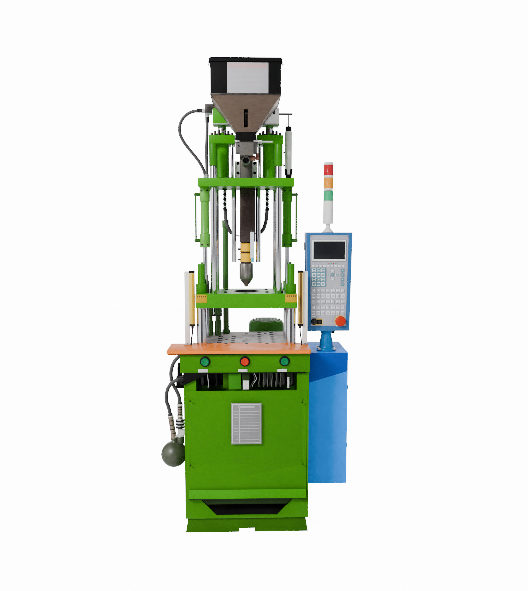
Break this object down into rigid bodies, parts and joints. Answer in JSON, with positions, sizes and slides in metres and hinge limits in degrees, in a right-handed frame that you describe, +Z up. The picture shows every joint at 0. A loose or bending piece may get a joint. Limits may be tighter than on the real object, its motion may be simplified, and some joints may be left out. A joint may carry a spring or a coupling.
{
  "type": "vertical injection moulding machine",
  "caption": "Small vertical injection moulding machine with a hopper, screw barrel, guided platens, work table, swivelling control box and side hydraulics.",
  "frame": {"origin": "on the floor under the axis of the injection screw", "axes": "+X to the operator's right, +Y away from the operator, +Z up along the injection screw"},
  "size_m": [0.984, 0.9133, 2.276],
  "materials": {
    "green_paint": "gloss",
    "dark_green_paint": "gloss",
    "olive_paint": "gloss",
    "orange_paint": "gloss",
    "blue_paint": "gloss",
    "yellow_paint": "satin",
    "white_paint": "satin",
    "black_paint": "satin",
    "grey_face": "satin",
    "machined_steel": "satin",
    "stainless": "satin",
    "chromed_steel": "polished",
    "cast_metal": "rough",
    "heater_brass": "satin",
    "hose_rubber": "matt",
    "cable_plastic": "matt",
    "green_plastic": "gloss",
    "red_plastic": "gloss",
    "lamp_plastic": "gloss",
    "black_plastic": "matt"
  },
  "bodies": {
    "frame": {"base_frame": "green_paint", "cabinet_shell": "green_paint", "front_panel": "green_paint", "button_beam": "green_paint", "work_table": "orange_paint", "lower_platen": "machined_steel", "clamp_cylinders": "dark_green_paint", "lift_cylinders": "dark_green_paint", "electrical_cabinet": "blue_paint", "pendant_pedestal": "blue_paint", "oil_tank": "green_paint", "pump_motor": "dark_green_paint", "riser_pipe": "green_paint", "curtain_posts": "white_paint", "curtain_bars": "yellow_paint", "curtain_cable_left": "cable_plastic", "curtain_cable_right": "cable_plastic", "accumulator": "olive_paint", "hose_fittings": "machined_steel", "upper_side_hose": "hose_rubber", "lower_side_hose": "hose_rubber", "valve_block": "black_paint"},
    "platen": {"moving_platen": "green_paint", "pull_rods": "chromed_steel", "guide_rods": "chromed_steel", "rod_caps": "green_paint", "piston_rods": "chromed_steel"},
    "carriage": {"carriage_plate": "machined_steel", "injection_cylinders": "green_paint", "carriage_rods": "chromed_steel", "touch_cylinders": "green_paint", "touch_pipes": "machined_steel", "barrel": "machined_steel", "barrel_shroud": "black_paint", "heater_bands": "heater_brass", "nozzle": "machined_steel", "feed_block": "cast_metal", "hopper": "stainless", "transducer_body": "cast_metal", "heater_conduits": "hose_rubber", "motor_hose_long": "hose_rubber", "motor_hose_short": "hose_rubber"},
    "crosshead": {"crosshead": "machined_steel", "injection_rods": "chromed_steel", "screw_motor": "black_paint", "transducer_rod": "black_paint"},
    "screw": {"injection_screw": "machined_steel"},
    "lid": {"hopper_lid": "stainless"},
    "gate": {"feed_gate": "machined_steel"},
    "pendant": {"control_box": "blue_paint", "control_face": "grey_face", "signal_tower": "white_paint", "signal_lamps": "lamp_plastic"},
    "mushroom": {"emergency_button": "red_plastic"},
    "key": {"key_switch": "black_plastic"},
    "left_start": {"start_button_left": "green_plastic"},
    "stop": {"stop_button": "red_plastic"},
    "right_start": {"start_button_right": "green_plastic"},
    "knob": {"relief_knob": "black_plastic"}
  },
  "joints": [
    {"name": "clamp_stroke", "type": "slide", "parent": "frame", "child": "platen", "axis": [0, 0, 1], "range_m": [-0.1, 0.06]},
    {"name": "carriage_stroke", "type": "slide", "parent": "platen", "child": "carriage", "axis": [0, 0, 1], "range_m": [-0.07, 0.045]},
    {"name": "injection_stroke", "type": "slide", "parent": "carriage", "child": "crosshead", "axis": [0, 0, 1], "range_m": [0, 0.09]},
    {"name": "screw_turn", "type": "hinge", "parent": "crosshead", "child": "screw", "pos_m": [0, 0, 1.7], "axis": [0, 0, 1], "continuous": true},
    {"name": "lid_hinge", "type": "hinge", "parent": "carriage", "child": "lid", "pos_m": [0, -0.057, 2.272], "axis": [-1, 0, 0], "range_deg": [0, 80]},
    {"name": "gate_slide", "type": "slide", "parent": "carriage", "child": "gate", "axis": [-1, 0, 0], "range_m": [0, 0.05]},
    {"name": "pendant_swivel", "type": "hinge", "parent": "frame", "child": "pendant", "pos_m": [0.421, 0.01, 1], "axis": [0, 0, 1], "range_deg": [-40, 40]},
    {"name": "mushroom_press", "type": "slide", "parent": "pendant", "child": "mushroom", "axis": [0, 1, 0], "range_m": [0, 0.005], "stiffness_N_per_m": 500},
    {"name": "key_turn", "type": "hinge", "parent": "pendant", "child": "key", "pos_m": [0.35, -0.06, 1.0316], "axis": [0, 1, 0], "range_deg": [0, 90]},
    {"name": "left_start_press", "type": "slide", "parent": "frame", "child": "left_start", "axis": [0, 1, 0], "range_m": [0, 0.005], "stiffness_N_per_m": 500},
    {"name": "stop_press", "type": "slide", "parent": "frame", "child": "stop", "axis": [0, 1, 0], "range_m": [0, 0.005], "stiffness_N_per_m": 500},
    {"name": "right_start_press", "type": "slide", "parent": "frame", "child": "right_start", "axis": [0, 1, 0], "range_m": [0, 0.005], "stiffness_N_per_m": 500},
    {"name": "knob_turn", "type": "hinge", "parent": "frame", "child": "knob", "pos_m": [-0.347, -0.04, 0.8], "axis": [0, 0, 1], "continuous": true}
  ]
}
